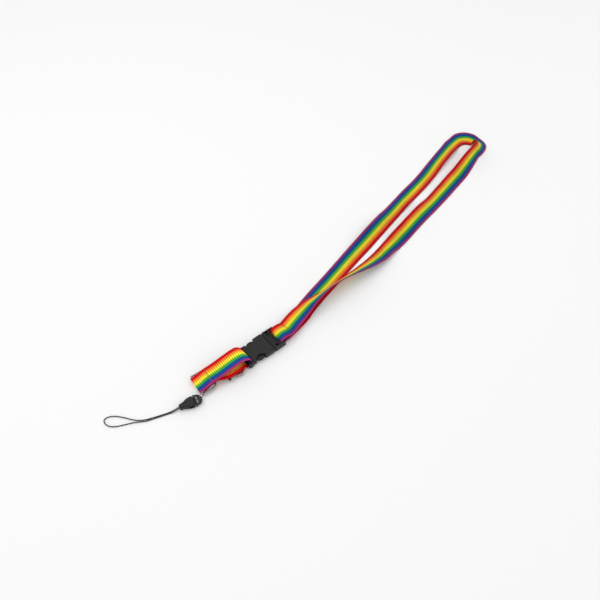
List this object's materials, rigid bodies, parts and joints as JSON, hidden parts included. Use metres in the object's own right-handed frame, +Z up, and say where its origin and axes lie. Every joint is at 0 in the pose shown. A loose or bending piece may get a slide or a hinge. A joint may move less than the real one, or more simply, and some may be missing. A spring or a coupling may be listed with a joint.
{
  "type": "neck lanyard",
  "caption": "Flat rainbow neck lanyard lying on a table: woven neck loop, side-release buckle, short ribbed strap, D-ring with swivel hook, and a detachable phone string.",
  "frame": {"origin": "on the table, under the middle of the box round everything but the phone string", "axes": "+X along the lanyard towards the far turn of the neck loop, +Y to the left of that, +Z up from the table"},
  "size_m": [0.5892, 0.0836, 0.0188],
  "materials": {
    "ribbon": "woven polyester ribbon in six lengthwise stripes: red, orange, yellow, green, blue, purple; smooth satin on the neck strap, ribbed grosgrain on the short strap",
    "black_plastic": "fine matte moulded acetal",
    "nickel": "bright nickel plate",
    "spring_steel": "plain drawn wire",
    "black_cord": "fine braided polyester cord"
  },
  "bodies": {
    "neck": {"neck_strap": "ribbon", "buckle_plug": "black_plastic"},
    "plug_latch_left": {"plug_arm_left": "black_plastic"},
    "plug_latch_right": {"plug_arm_right": "black_plastic"},
    "socket": {"buckle_socket": "black_plastic", "short_strap": "ribbon"},
    "ring": {"d_ring": "nickel"},
    "eye": {"swivel_eye": "nickel"},
    "hook": {"swivel_rivet": "nickel", "hook_body": "nickel", "gate_pin": "spring_steel", "gate_spring": "spring_steel"},
    "gate": {"hook_gate": "nickel"},
    "link": {"link_ring": "nickel"},
    "clip": {"connector_clip": "black_plastic"},
    "clip_latch_left": {"clip_arm_left": "black_plastic"},
    "clip_latch_right": {"clip_arm_right": "black_plastic"},
    "string_end": {"connector_body": "black_plastic", "phone_loop_cord": "black_cord"}
  },
  "joints": [
    {"name": "plug_latch_left_flex", "type": "hinge", "parent": "neck", "child": "plug_latch_left", "pos_m": [-0.15241, -0.00148, 0.0036], "axis": [0, 0, 1], "range_deg": [0, 7], "stiffness_Nm_per_rad": 0.6},
    {"name": "plug_latch_right_flex", "type": "hinge", "parent": "neck", "child": "plug_latch_right", "pos_m": [-0.15505, -0.01726, 0.0036], "axis": [0, 0, 1], "range_deg": [-7, 0], "stiffness_Nm_per_rad": 0.6},
    {"name": "buckle_release", "type": "slide", "parent": "neck", "child": "socket", "axis": [-0.9863, 0.165, 0], "range_m": [0, 0.024], "deforming": ["plug_arm_left", "plug_arm_right"]},
    {"name": "d_ring_swing", "type": "hinge", "parent": "socket", "child": "ring", "pos_m": [-0.2367, 0.0088, 0.0034], "axis": [0.2334, 0.9724, 0], "range_deg": [0, 120]},
    {"name": "eye_swing", "type": "hinge", "parent": "ring", "child": "eye", "pos_m": [-0.22066, 0.00495, 0.0034], "axis": [0.2334, 0.9724, 0], "range_deg": [0, 90]},
    {"name": "hook_turn", "type": "hinge", "parent": "eye", "child": "hook", "pos_m": [-0.22046, 0.0049, 0.0032], "axis": [0.8387, -0.5446, 0], "range_deg": [-180, 180], "deforming": ["short_strap"]},
    {"name": "gate_open", "type": "hinge", "parent": "hook", "child": "gate", "pos_m": [-0.21129, -0.00392, 0.0032], "axis": [0, 0, 1], "range_deg": [0, 22], "stiffness_Nm_per_rad": 0.02, "springref_deg": -17.19, "deforming": ["gate_spring"]},
    {"name": "link_swing", "type": "hinge", "parent": "ring", "child": "link", "pos_m": [-0.2367, 0.0088, 0.0034], "axis": [0.2334, 0.9724, 0], "range_deg": [-42, 0]},
    {"name": "connector_swing", "type": "hinge", "parent": "link", "child": "clip", "pos_m": [-0.24447, -0.00364, 0.0029], "axis": [0, 0, 1], "range_deg": [-20, 20]},
    {"name": "clip_latch_left_flex", "type": "hinge", "parent": "clip", "child": "clip_latch_left", "pos_m": [-0.25137, -0.00431, 0.0029], "axis": [0, 0, 1], "range_deg": [-7, 0], "stiffness_Nm_per_rad": 0.05},
    {"name": "clip_latch_right_flex", "type": "hinge", "parent": "clip", "child": "clip_latch_right", "pos_m": [-0.24914, 0.00147, 0.0029], "axis": [0, 0, 1], "range_deg": [0, 7], "stiffness_Nm_per_rad": 0.05},
    {"name": "connector_release", "type": "slide", "parent": "clip", "child": "string_end", "axis": [-0.9336, 0.3584, 0], "range_m": [0, 0.008], "deforming": ["clip_arm_left", "clip_arm_right"]}
  ],
  "couplings": [
    {"joint": "link_swing", "follows": "d_ring_swing", "ratio": -0.35}
  ]
}
